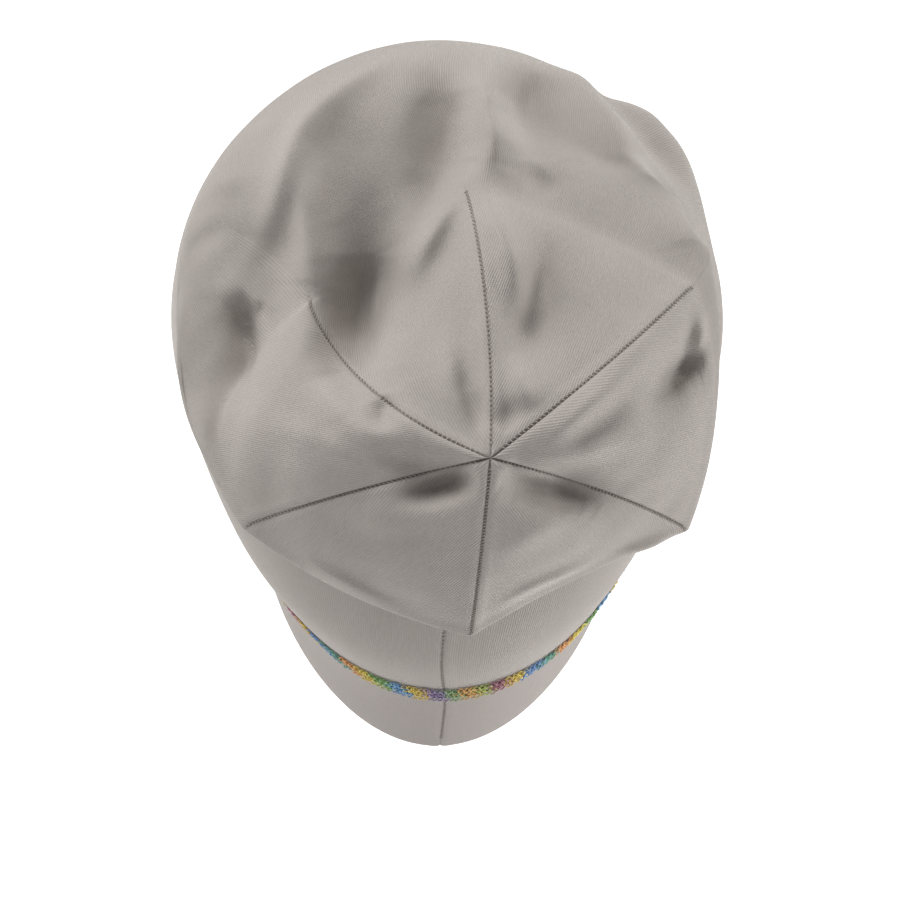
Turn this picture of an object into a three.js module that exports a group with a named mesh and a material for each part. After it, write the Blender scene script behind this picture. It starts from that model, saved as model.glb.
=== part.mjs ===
// A long pull-on cap of fine cotton jersey whose closed end hangs down behind the head.
// Millimetres. +Z is up on the wearer's head, the front faces -Y and the wearer's left is +X.
// The origin is the centre of the head opening, in the plane of the hem.
//
// Every point of the cloth is found from two numbers. u runs once round from 0 at the front, 1 for
// each dart, by the wearer's left, to 3 at the back. v runs up from 0 at the hem to 1 at the
// corners of the darts and 2 at the apex, where the darts meet.
import * as THREE from 'three';

const DARTS = 6;
const COLUMNS_PER_DART = 12;
const COLUMNS = DARTS * COLUMNS_PER_DART;
const WALL = 1.7;
const GAP = 0.35;
const JOINT_V = 0.2;
const JOINT_GAP_V = 0.0008;
const STRIPE_HALF_V = 0.02;
const STRIPE_HEIGHT = 0.9;
const UNDER_V = 0.94;
const DART_ANGLE = Math.PI / 3;
const FOLD_STEPS = 8;
const CROWN_FOLDS_FROM = 1.1;
const FOLD_EDGE = 0.08;
const FOLD_RISE = 0.45; // share of a fold's length over which each end rises
const NORMAL_STEP = 0.05; // step in u and v that measures which way the cloth faces
const CLOSED_END_FACES = [0, 0.77, 0.64];
const FACING_NONE = 0.14; // cosine from which folds start to turn that way
const FACING_FULL = 0.59; // and from which they run straight that way
const BAND_ROWS = [0, 0.006, 0.06, 0.12];

// Sections of the tube, from the hem to where it turns down behind. Each is a closed curve through
// a front point, a back point and two side points of one height, with a half width and a centre.
// egg moves the widest place towards the back, roll lifts the wearer's left side.
const SECTIONS = [
  { v: 0.00, frontY: -78, frontZ: 54, backY: 79, backZ: -53, sideY: 13, sideZ: -9, halfWidth: 76, x: 0, egg: 0.30, roll: -2 },
  { v: 0.16, frontY: -83, frontZ: 92, backY: 89, backZ: -16, sideY: 9, sideZ: 32, halfWidth: 82, x: -2, egg: 0.18, roll: -1 },
  { v: 0.33, frontY: -85, frontZ: 130, backY: 99, backZ: 18, sideY: 11, sideZ: 72, halfWidth: 90, x: -1, egg: 0.00, roll: 0 },
  { v: 0.48, frontY: -79, frontZ: 161, backY: 96, backZ: 53, sideY: 12, sideZ: 109, halfWidth: 101, x: -3, egg: 0.00, roll: 0 },
  { v: 0.61, frontY: -60, frontZ: 184, backY: 87, backZ: 81, sideY: 22, sideZ: 127, halfWidth: 97, x: -2, egg: 0.00, roll: 1 },
  { v: 0.72, frontY: -36, frontZ: 193, backY: 86, backZ: 98, sideY: 29, sideZ: 137, halfWidth: 91, x: 1, egg: 0.02, roll: -1 },
  { v: 0.82, frontY: -12, frontZ: 189, backY: 99, backZ: 92, sideY: 43, sideZ: 129, halfWidth: 90, x: 1, egg: -0.02, roll: 0 },
];

// The six darts, from the front by the wearer's left. corner is the dart's outer end, under is the
// cloth just before it, on the hidden side of the fold, and bow bends the seam on its way to the
// apex. edge and underEdge bulge the side of the hexagon that follows the dart, and facet bulges
// the panel behind that side.
const DART_ROWS = [
  { corner: [-9, 23, 173], under: [-10, 12, 178], bow: [-3, 3, 5], edge: -3, underEdge: -3, facet: -5 },
  { corner: [45, 44, 142], under: [56, 31, 147], bow: [10, 8, 2], edge: 20, underEdge: 24.5, facet: 6 },
  { corner: [67, 98, 83], under: [68, 90, 89], bow: [4, 4, 4], edge: 5, underEdge: 8, facet: 3 },
  { corner: [-11, 121, 54], under: [-11, 113, 61], bow: [0, 5, 0], edge: -2, underEdge: -2, facet: 3 },
  { corner: [-88, 84, 69], under: [-88, 76, 75], bow: [-3, 5, 6], edge: 8, underEdge: 7, facet: 5 },
  { corner: [-87, 50, 151], under: [-92, 41, 156], bow: [-4, 4, 6], edge: 4, underEdge: 5, facet: 0 },
];
const APEX = [-17, 110, 124];
const CROWN_KNOTS = [0, 0.06, 0.14, 0.25, 0.4, 0.55, 0.7, 0.85, 1];

// Folds of the cloth. Each runs over the surface through three places, given as u and v.
// width is the half width and height is plus for a ridge, minus for a valley.
const FOLDS = [
  { name: 'ridge to the front dart', from: [-0.25, 0.68], via: [-0.16, 0.86], to: [0.02, 1.05], width: 10, height: 11 },
  { name: 'valley left of the front ridge', from: [-0.11, 0.74], via: [0.05, 0.89], to: [0.36, 1.09], width: 11, height: -9 },
  { name: 'deep valley beside dart 1', from: [0.52, 0.88], via: [0.77, 1.16], to: [1.35, 1.70], width: 11, height: -19 },
  { name: 'ridge to dart 1', from: [0.41, 0.83], via: [0.74, 0.92], to: [1.06, 1.09], width: 11, height: 6 },
  { name: 'long ridge on the left', from: [0.12, 0.71], via: [0.56, 0.83], to: [1.12, 0.93], width: 11, height: 5 },
  { name: 'upright valley on the left', from: [1.11, 0.94], via: [1.27, 0.99], to: [1.55, 1.18], width: 9, height: -7 },
  { name: 'ridge right of the front dart', from: [-0.08, 0.92], via: [-0.15, 1.22], to: [-0.42, 1.59], width: 10, height: 5 },
  { name: 'valley right of that ridge', from: [-0.40, 1.03], via: [-0.38, 1.45], to: [-0.50, 1.75], width: 10, height: -6 },
  { name: 'valley right of the top ridge', from: [-0.33, 0.66], via: [-0.41, 0.80], to: [-0.34, 0.94], width: 10, height: -8 },
  { name: 'long ridge on the right', from: [-0.36, 0.64], via: [-0.80, 0.79], to: [-0.99, 0.97], width: 10, height: 9 },
  { name: 'swell at the right shoulder', from: [-0.62, 0.62], via: [-0.86, 0.61], to: [-1.34, 0.54], width: 14, height: 8 },
  { name: 'valley below dart 5', from: [-1.25, 1.00], via: [-1.28, 1.20], to: [-1.39, 1.47], width: 9, height: -8 },
  { name: 'hollow left of the apex', from: [2.35, 1.94], via: [2.17, 1.80], to: [2.09, 1.56], width: 7, height: -9 },
  { name: 'hollow right of the apex', from: [-2.77, 1.92], via: [-2.14, 1.70], to: [-2.10, 1.37], width: 7, height: -8 },
  { name: 'valley under dart 1', from: [1.62, 1.55], via: [1.72, 1.73], to: [1.61, 1.90], width: 6, height: -5 },
];

// Rows of the crown above the joint: closer where the cloth folds over.
const CROWN_RUNS = [
  { to: 0.24, rows: 1 },
  { to: 0.60, rows: 6 },
  { to: 0.88, rows: 8 },
  { to: 1.06, rows: 6 },
  { to: 1.90, rows: 11 },
];

function vector(list) {
  return new THREE.Vector3(list[0], list[1], list[2]);
}

function sectionPoint(row, u) {
  const turn = u * DART_ANGLE;
  const c = Math.cos(turn);
  const s = Math.sin(turn);
  const midY = (row.frontY + row.backY) / 2;
  const midZ = (row.frontZ + row.backZ) / 2;
  const x = row.x + row.halfWidth * Math.sin(turn + row.egg * s);
  const y = midY + (row.frontY - midY) * c + (row.sideY - midY) * s * s;
  const z = midZ + (row.frontZ - midZ) * c + (row.sideZ - midZ) * s * s + row.roll * s;
  return new THREE.Vector3(x, y, z);
}

function dartAt(index) {
  return DART_ROWS[((index % DARTS) + DARTS) % DARTS];
}

function centreOf(key) {
  const sum = new THREE.Vector3();
  for (const row of DART_ROWS) sum.add(vector(row[key]));
  return sum.divideScalar(DARTS);
}

function bulge(share) {
  return 4 * share * (1 - share);
}

// A point of the hexagon through the darts' corners, its sides bulged away from its centre.
function hexagonPoint(key, edgeKey, u) {
  const index = Math.floor(u);
  const share = u - index;
  const a = vector(dartAt(index)[key]);
  const b = vector(dartAt(index + 1)[key]);
  const out = a.clone().add(b).multiplyScalar(0.5).sub(centreOf(key)).normalize();
  return a.lerp(b, share).addScaledVector(out, bulge(share) * dartAt(index)[edgeKey]);
}

function seamPoint(index, t) {
  const row = dartAt(index);
  return vector(row.corner).lerp(vector(APEX), t).addScaledVector(vector(row.bow), bulge(t));
}

function facetNormal(index) {
  const a = vector(dartAt(index).corner);
  const b = vector(dartAt(index + 1).corner);
  const apex = vector(APEX);
  return a.clone().sub(apex).cross(b.clone().sub(apex)).normalize();
}

// A point of the closed end: between two seams, bulged along the panel's own normal.
function crownPoint(t, u) {
  const index = Math.floor(u);
  const share = u - index;
  const row = dartAt(index);
  const a = vector(row.corner);
  const b = vector(dartAt(index + 1).corner);
  const out = a.add(b).multiplyScalar(0.5).sub(centreOf('corner')).normalize();
  const point = seamPoint(index, t).lerp(seamPoint(index + 1, t), share);
  point.addScaledVector(out, (1 - t) ** 2 * bulge(share) * row.edge);
  return point.addScaledVector(facetNormal(index), bulge(t) * bulge(share) * row.facet);
}

// The known points up one column of the cloth, each with its v.
function columnKnots(u) {
  const knots = SECTIONS.map((row) => ({ v: row.v, point: sectionPoint(row, u) }));
  knots.push({ v: UNDER_V, point: hexagonPoint('under', 'underEdge', u) });
  for (const t of CROWN_KNOTS) knots.push({ v: 1 + t, point: crownPoint(t, u) });
  return knots;
}

function slopeBetween(a, b) {
  return b.point.clone().sub(a.point).divideScalar(b.v - a.v);
}

// The slope at each knot: the mean of the two neighbouring runs, the shorter run counting more.
function columnSlopes(knots) {
  return knots.map((knot, i) => {
    if (i === 0) return slopeBetween(knot, knots[1]);
    if (i === knots.length - 1) return slopeBetween(knots[i - 1], knot);
    const before = knot.v - knots[i - 1].v;
    const after = knots[i + 1].v - knot.v;
    const first = slopeBetween(knots[i - 1], knot);
    return first.lerp(slopeBetween(knot, knots[i + 1]), before / (before + after));
  });
}

// The smooth curve through a column's knots, at v.
function alongColumn(knots, slopes, v) {
  let i = 0;
  while (i < knots.length - 2 && v >= knots[i + 1].v) i += 1;
  const span = knots[i + 1].v - knots[i].v;
  const x = (v - knots[i].v) / span;
  const point = knots[i].point.clone().multiplyScalar(2 * x ** 3 - 3 * x ** 2 + 1);
  point.addScaledVector(slopes[i], (x ** 3 - 2 * x ** 2 + x) * span);
  point.addScaledVector(knots[i + 1].point, 3 * x ** 2 - 2 * x ** 3);
  return point.addScaledVector(slopes[i + 1], (x ** 3 - x ** 2) * span);
}

function smoothPoint(u, v) {
  const knots = columnKnots(u);
  return alongColumn(knots, columnSlopes(knots), v);
}

// The parabola through three numbers, the middle one halfway.
function through(a, b, c, share) {
  return a * (1 - share) * (1 - 2 * share) + b * bulge(share) + c * share * (2 * share - 1);
}

// The way out of the cloth at a place on the smooth surface.
function smoothNormal(u, v) {
  const round = smoothPoint(u + NORMAL_STEP, v).sub(smoothPoint(u - NORMAL_STEP, v));
  const up = smoothPoint(u, Math.min(v + NORMAL_STEP, 2)).sub(smoothPoint(u, v - NORMAL_STEP));
  return round.cross(up).normalize();
}

// The way a fold lifts the cloth at a place: where the cloth faces as the closed end does, straight
// that way, so a fold keeps its place seen from there, and elsewhere straight out of the cloth.
function foldWay(u, v) {
  const way = smoothNormal(u, v);
  const facing = way.dot(vector(CLOSED_END_FACES));
  const share = Math.min(1, Math.max(0, (facing - FACING_NONE) / (FACING_FULL - FACING_NONE)));
  return way.lerp(vector(CLOSED_END_FACES), share).normalize();
}

// A fold's line as short straight steps over the smooth surface, with its way out at each step.
function foldLine(fold) {
  const line = { points: [], ways: [] };
  for (let i = 0; i <= FOLD_STEPS; i += 1) {
    const s = i / FOLD_STEPS;
    const u = through(fold.from[0], fold.via[0], fold.to[0], s);
    const v = through(fold.from[1], fold.via[1], fold.to[1], s);
    line.points.push(smoothPoint(u, v));
    line.ways.push(foldWay(u, v));
  }
  return line;
}

// The nearest place on a line to a point: how far along it is, 0 to 1, how far off the point is,
// and the way out there.
function nearestOnLine(line, point) {
  let best = { distance: Infinity };
  const nearest = new THREE.Vector3();
  for (let i = 0; i < FOLD_STEPS; i += 1) {
    const step = new THREE.Line3(line.points[i], line.points[i + 1]);
    const share = step.closestPointToPointParameter(point, true);
    step.at(share, nearest);
    const distance = nearest.distanceTo(point);
    if (distance < best.distance) best = { distance, i, share, along: (i + share) / FOLD_STEPS };
  }
  best.way = line.ways[best.i].clone().lerp(line.ways[best.i + 1], best.share);
  return best;
}

// How much of a fold shows: it rises over its first and last stretch.
function foldEnds(along) {
  const x = Math.min(1, Math.min(along, 1 - along) / FOLD_RISE);
  return x * x * (3 - 2 * x);
}

// How far all folds push a point of the cloth: a bell curve across each fold's line.
function foldPush(lines, point, v) {
  const push = new THREE.Vector3();
  FOLDS.forEach((fold, i) => {
    const near = nearestOnLine(lines[i], point);
    const across = Math.exp(-((near.distance / fold.width) ** 2));
    const onCrown = Math.min(fold.from[1], fold.via[1], fold.to[1]) >= CROWN_FOLDS_FROM;
    const shown = onCrown ? Math.min(1, Math.max(0, (v - 1) / FOLD_EDGE)) : 1;
    push.addScaledVector(near.way, fold.height * across * foldEnds(near.along) * shown);
  });
  return push;
}

function gridNormals(grid) {
  return grid.map((row, r) => row.map((point, c) => {
    const count = row.length;
    const round = row[(c + 1) % count].clone().sub(row[(c + count - 1) % count]);
    const above = grid[Math.min(r + 1, grid.length - 1)][c];
    const below = grid[Math.max(r - 1, 0)][c];
    return round.cross(above.clone().sub(below)).normalize();
  }));
}

// The cloth's outer side as rows of points at the given v, all with their outward normals.
function clothGrid(rowsV) {
  const columns = [];
  for (let c = 0; c < COLUMNS; c += 1) {
    const knots = columnKnots(c / COLUMNS_PER_DART);
    columns.push({ knots, slopes: columnSlopes(knots) });
  }
  const smooth = rowsV.map((v) => columns.map((col) => alongColumn(col.knots, col.slopes, v)));
  const lines = FOLDS.map(foldLine);
  const points = smooth.map((row, r) => row.map((point) => foldPush(lines, point, rowsV[r]).add(point)));
  return { points, normals: gridNormals(points) };
}

function shifted(points, normals, distance) {
  return points.map((row, r) => row.map((point, c) => point.clone().addScaledVector(normals[r][c], distance)));
}

// Joins rows of points into triangles, the shorter diagonal across each four.
class Shell {
  constructor() {
    this.points = [];
    this.triangles = [];
  }

  addRow(row) {
    const start = this.points.length;
    for (const point of row) this.points.push(point);
    return start;
  }

  addStrip(lower, upper) {
    for (let c = 0; c < COLUMNS; c += 1) {
      const d = (c + 1) % COLUMNS;
      const corners = [lower + c, lower + d, upper + d, upper + c];
      const [a, b, e, f] = corners.map((i) => this.points[i]);
      if (a.distanceTo(e) < b.distanceTo(f)) {
        this.triangles.push(corners[0], corners[1], corners[2], corners[0], corners[2], corners[3]);
      } else {
        this.triangles.push(corners[0], corners[1], corners[3], corners[1], corners[2], corners[3]);
      }
    }
  }

  addFan(row, apex, inward) {
    const tip = this.addRow([apex]);
    for (let c = 0; c < COLUMNS; c += 1) {
      const d = (c + 1) % COLUMNS;
      if (inward) this.triangles.push(row + d, row + c, tip);
      else this.triangles.push(row + c, row + d, tip);
    }
  }

  geometry() {
    const shape = new THREE.BufferGeometry();
    const flat = this.points.flatMap((point) => [point.x, point.y, point.z]);
    shape.setAttribute('position', new THREE.Float32BufferAttribute(flat, 3));
    shape.setIndex(this.triangles);
    shape.computeVertexNormals();
    return shape;
  }
}

// A closed ring whose section is the given loop of rows, each row going once round the cap.
function ringShell(loop) {
  const shell = new Shell();
  const starts = loop.map((row) => shell.addRow(row));
  starts.forEach((start, i) => shell.addStrip(start, starts[(i + 1) % starts.length]));
  return shell.geometry();
}

function crownRows() {
  const rows = [JOINT_V + JOINT_GAP_V];
  for (const run of CROWN_RUNS) {
    const from = rows[rows.length - 1];
    for (let i = 1; i <= run.rows; i += 1) rows.push(from + (run.to - from) * i / run.rows);
  }
  return rows;
}

function meanOf(vectors) {
  const sum = new THREE.Vector3();
  for (const one of vectors) sum.add(one);
  return sum.divideScalar(vectors.length);
}

// The jersey above the stitched joint: outer side, inner side, and the cut edge between them.
function crownGeometry() {
  const { points, normals } = clothGrid(crownRows());
  const inner = shifted(points, normals, -WALL);
  const shell = new Shell();
  const outerStarts = points.map((row) => shell.addRow(row));
  const innerStarts = inner.map((row) => shell.addRow(row));
  for (let r = 0; r < points.length - 1; r += 1) {
    shell.addStrip(outerStarts[r], outerStarts[r + 1]);
    shell.addStrip(innerStarts[r + 1], innerStarts[r]);
  }
  shell.addStrip(innerStarts[0], outerStarts[0]);
  const last = points.length - 1;
  const apex = vector(APEX);
  const apexNormal = meanOf(normals[last]).normalize();
  shell.addFan(outerStarts[last], apex, false);
  shell.addFan(innerStarts[last], apex.clone().addScaledVector(apexNormal, -WALL), true);
  return shell.geometry();
}

// The doubled band below the joint, its lower edge rounded where the cloth turns in.
function hemBandGeometry() {
  const rowsV = [...BAND_ROWS, JOINT_V - STRIPE_HALF_V, JOINT_V - JOINT_GAP_V];
  const { points, normals } = clothGrid(rowsV);
  const inner = shifted(points, normals, -WALL);
  const edge = shifted([points[0]], [normals[0]], -WALL / 2)[0];
  const outerRows = points.slice(1);
  const innerRows = inner.slice(1).reverse();
  return ringShell([edge, ...outerRows, ...innerRows]);
}

// The band of coloured thread that lies over the joint.
function stripeGeometry() {
  const rowsV = [JOINT_V - STRIPE_HALF_V, JOINT_V, JOINT_V + STRIPE_HALF_V];
  const { points, normals } = clothGrid(rowsV);
  const under = shifted(points, normals, GAP);
  const over = shifted(points, normals, GAP + STRIPE_HEIGHT);
  return ringShell([under[0], over[0], over[1], over[2], under[2], under[1]]);
}

function jerseyMaterial() {
  return new THREE.MeshStandardMaterial({ color: '#a9a09b', roughness: 0.95, metalness: 0 });
}

function bandMaterial() {
  return new THREE.MeshStandardMaterial({ color: '#a39a95', roughness: 0.95, metalness: 0 });
}

function threadMaterial() {
  return new THREE.MeshStandardMaterial({ color: '#b9ad5a', roughness: 0.7, metalness: 0 });
}

function named(name, geometry, material) {
  const mesh = new THREE.Mesh(geometry, material);
  mesh.name = name;
  return mesh;
}

const cap = new THREE.Group();
cap.name = 'jersey_cap';
cap.add(named('crown', crownGeometry(), jerseyMaterial()));
cap.add(named('hem_band', hemBandGeometry(), bandMaterial()));
cap.add(named('stitched_stripe', stripeGeometry(), threadMaterial()));

export default cap;
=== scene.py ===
import math
from functools import lru_cache

import bpy
import numpy as np
from bpy.props import FloatProperty, FloatVectorProperty, IntProperty, PointerProperty
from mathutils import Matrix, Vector


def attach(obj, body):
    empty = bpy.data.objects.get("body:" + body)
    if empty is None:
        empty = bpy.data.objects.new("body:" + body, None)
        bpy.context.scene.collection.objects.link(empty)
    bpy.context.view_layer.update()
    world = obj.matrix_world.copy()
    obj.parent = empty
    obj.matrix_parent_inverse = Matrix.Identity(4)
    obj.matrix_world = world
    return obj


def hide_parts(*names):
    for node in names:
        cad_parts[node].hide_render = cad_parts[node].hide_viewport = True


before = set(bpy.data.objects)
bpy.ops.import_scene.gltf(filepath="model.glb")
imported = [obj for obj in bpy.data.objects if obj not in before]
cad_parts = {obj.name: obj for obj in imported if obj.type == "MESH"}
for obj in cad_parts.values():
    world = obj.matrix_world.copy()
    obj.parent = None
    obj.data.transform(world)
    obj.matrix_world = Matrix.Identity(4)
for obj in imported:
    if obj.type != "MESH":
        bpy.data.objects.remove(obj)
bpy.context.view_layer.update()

bl_info = {
    "name": "Long jersey cap",
    "version": (1, 0, 0),
    "blender": (4, 5, 0),
    "location": "View3D > Sidebar > Cap",
    "description": "Builds a long pull-on cap of cotton jersey over its CAD frame",
    "category": "Object",
}

BODY = "root"
MM = 0.001
TAU = 2 * math.pi

# How the cloth is laid out. Every point is found from two numbers: u runs once round from 0 at the
# front, 1 for each dart, by the wearer's left, to 3 at the back, and v runs up from 0 at the hem
# to 1 at the corners of the darts and 2 at the apex. All sizes here are millimetres.
DARTS = 6
BACK = 3
# The crown and the band meet at the joint, with a small gap to each side of it.
JOINT_V = 0.2
JOINT_GAP_V = 0.0008
# The row just before the corners, on the hidden side of the fold that overhangs.
UNDER_V = 0.94
# The cloth laid flat: up the tube, along a dart, and from one dart to the next.
TUBE_LENGTH = 230.0
DART_LENGTH = 88.0
DART_WIDTH = 90.0

# A fold's line has this many steps, and its height rises over a share of the line at each end.
FOLD_STEPS = 8
FOLD_RISE = 0.45
# A fold that stays above this v belongs to the closed end, where it starts over a short run of v.
CLOSED_END_V = 1.1
CLOSED_END_START = 0.08
# The way the closed end faces, and how squarely cloth has to face that way to be pushed along it.
CLOSED_END_FACES = np.array([0, 0.77, 0.64])
FACING_NONE = 0.14
FACING_FULL = 0.59
FACING_STEP = 0.05

# Crumples are waves of mixed length: their number, shortest, longest and height, and the v where
# they start and the run of v over which they come to full height.
CRUMPLE_WAVES = 16
CRUMPLE_SHORTEST = 9
CRUMPLE_LONGEST = 26
CRUMPLE = 0.12
CRUMPLE_V = 0.3
CRUMPLE_RUN = 0.4

# Across a seam: half the groove's width, the swell beside it, its half width and its share of the
# depth. The back seam has a share of the depth, and a dart's groove starts over a short run of v.
GROOVE_HALF = 0.4
SWELL_AWAY = 2.6
SWELL_HALF = 1.8
SWELL_SHARE = 0.35
BACK_SEAM_SHARE = 0.5
DART_SEAM_START = 0.05
# Where the apex sinks to, for each millimetre of seam depth, since all six seams meet there.
APEX_DIP = np.array([0.0, -0.8, -0.6])

# Columns round the cap, how much closer they are drawn at the darts, and which of them the
# crown's lining uses. Runs of rows up the crown: up to which v, and how many rows.
COLUMNS = 360
COLUMN_DRAW = 0.62
LINING_EVERY = 2
CROWN_RUNS = ((0.9, 110), (1.1, 36), (1.985, 74))
# Rows of the band, which of them its inner side uses, and the steps of its rounded lower edge.
BAND_ROWS = 40
BAND_EVERY = 3
EDGE_STEPS = 6

# Sections of the tube, from the hem up to where it turns down behind: v, front y z, back y z,
# side y z, half width, centre x, egg (moves the widest place back), roll (lifts the left side).
SECTIONS = np.array([
    [0.00, -78, 54, 79, -53, 13, -9, 76, 0, 0.30, -2],
    [0.16, -83, 92, 89, -16, 9, 32, 82, -2, 0.18, -1],
    [0.33, -85, 130, 99, 18, 11, 72, 90, -1, 0.00, 0],
    [0.48, -79, 161, 96, 53, 12, 109, 101, -3, 0.00, 0],
    [0.61, -60, 184, 87, 81, 22, 127, 97, -2, 0.00, 1],
    [0.72, -36, 193, 86, 98, 29, 137, 91, 1, 0.02, -1],
    [0.82, -12, 189, 99, 92, 43, 129, 90, 1, -0.02, 0],
])

# The six darts, from the front by the wearer's left: where each ends, the cloth just before that
# on the hidden side of the fold, and how far the seam bows on its way to the apex.
CORNERS = np.array([
    [-9, 23, 173], [45, 44, 142], [67, 98, 83],
    [-11, 121, 54], [-88, 84, 69], [-87, 50, 151],
], float)
UNDERS = np.array([
    [-10, 12, 178], [56, 31, 147], [68, 90, 89],
    [-11, 113, 61], [-88, 76, 75], [-92, 41, 156],
], float)
BOWS = np.array([[-3, 3, 5], [10, 8, 2], [4, 4, 4], [0, 5, 0], [-3, 5, 6], [-4, 4, 6]], float)
# How far the hexagon's side after each dart bulges, the same on the hidden side, and the panel.
EDGE_BULGE = np.array([-3, 20, 5, -2, 8, 4], float)
UNDER_BULGE = np.array([-3, 24.5, 8, -2, 7, 5], float)
FACET_BULGE = np.array([-5, 6, 3, 3, 5, 0], float)
APEX = np.array([-17, 110, 124], float)
CROWN_KNOTS = (0, 0.06, 0.14, 0.25, 0.4, 0.55, 0.7, 0.85, 1)

# The main folds, as in the solids: from u v, via u v, to u v, half width, height.
FOLDS = [
    (-0.25, 0.68, -0.16, 0.86, 0.02, 1.05, 10, 11),  # ridge to the front dart
    (-0.11, 0.74, 0.05, 0.89, 0.36, 1.09, 11, -9),  # valley left of the front ridge
    (0.52, 0.88, 0.77, 1.16, 1.35, 1.70, 11, -19),  # deep valley beside dart 1
    (0.41, 0.83, 0.74, 0.92, 1.06, 1.09, 11, 6),  # ridge to dart 1
    (0.12, 0.71, 0.56, 0.83, 1.12, 0.93, 11, 5),  # long ridge on the left
    (1.11, 0.94, 1.27, 0.99, 1.55, 1.18, 9, -7),  # upright valley on the left
    (-0.08, 0.92, -0.15, 1.22, -0.42, 1.59, 10, 5),  # ridge right of the front dart
    (-0.40, 1.03, -0.38, 1.45, -0.50, 1.75, 10, -6),  # valley right of that ridge
    (-0.33, 0.66, -0.41, 0.80, -0.34, 0.94, 10, -8),  # valley right of the top ridge
    (-0.36, 0.64, -0.80, 0.79, -0.99, 0.97, 10, 9),  # long ridge on the right
    (-0.62, 0.62, -0.86, 0.61, -1.34, 0.54, 14, 8),  # swell at the right shoulder
    (-1.25, 1.00, -1.28, 1.20, -1.39, 1.47, 9, -8),  # valley below dart 5
    (2.35, 1.94, 2.17, 1.80, 2.09, 1.56, 7, -9),  # hollow left of the apex
    (-2.77, 1.92, -2.14, 1.70, -2.10, 1.37, 7, -8),  # hollow right of the apex
    (1.62, 1.55, 1.72, 1.73, 1.61, 1.90, 6, -5),  # valley under dart 1
]

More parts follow.
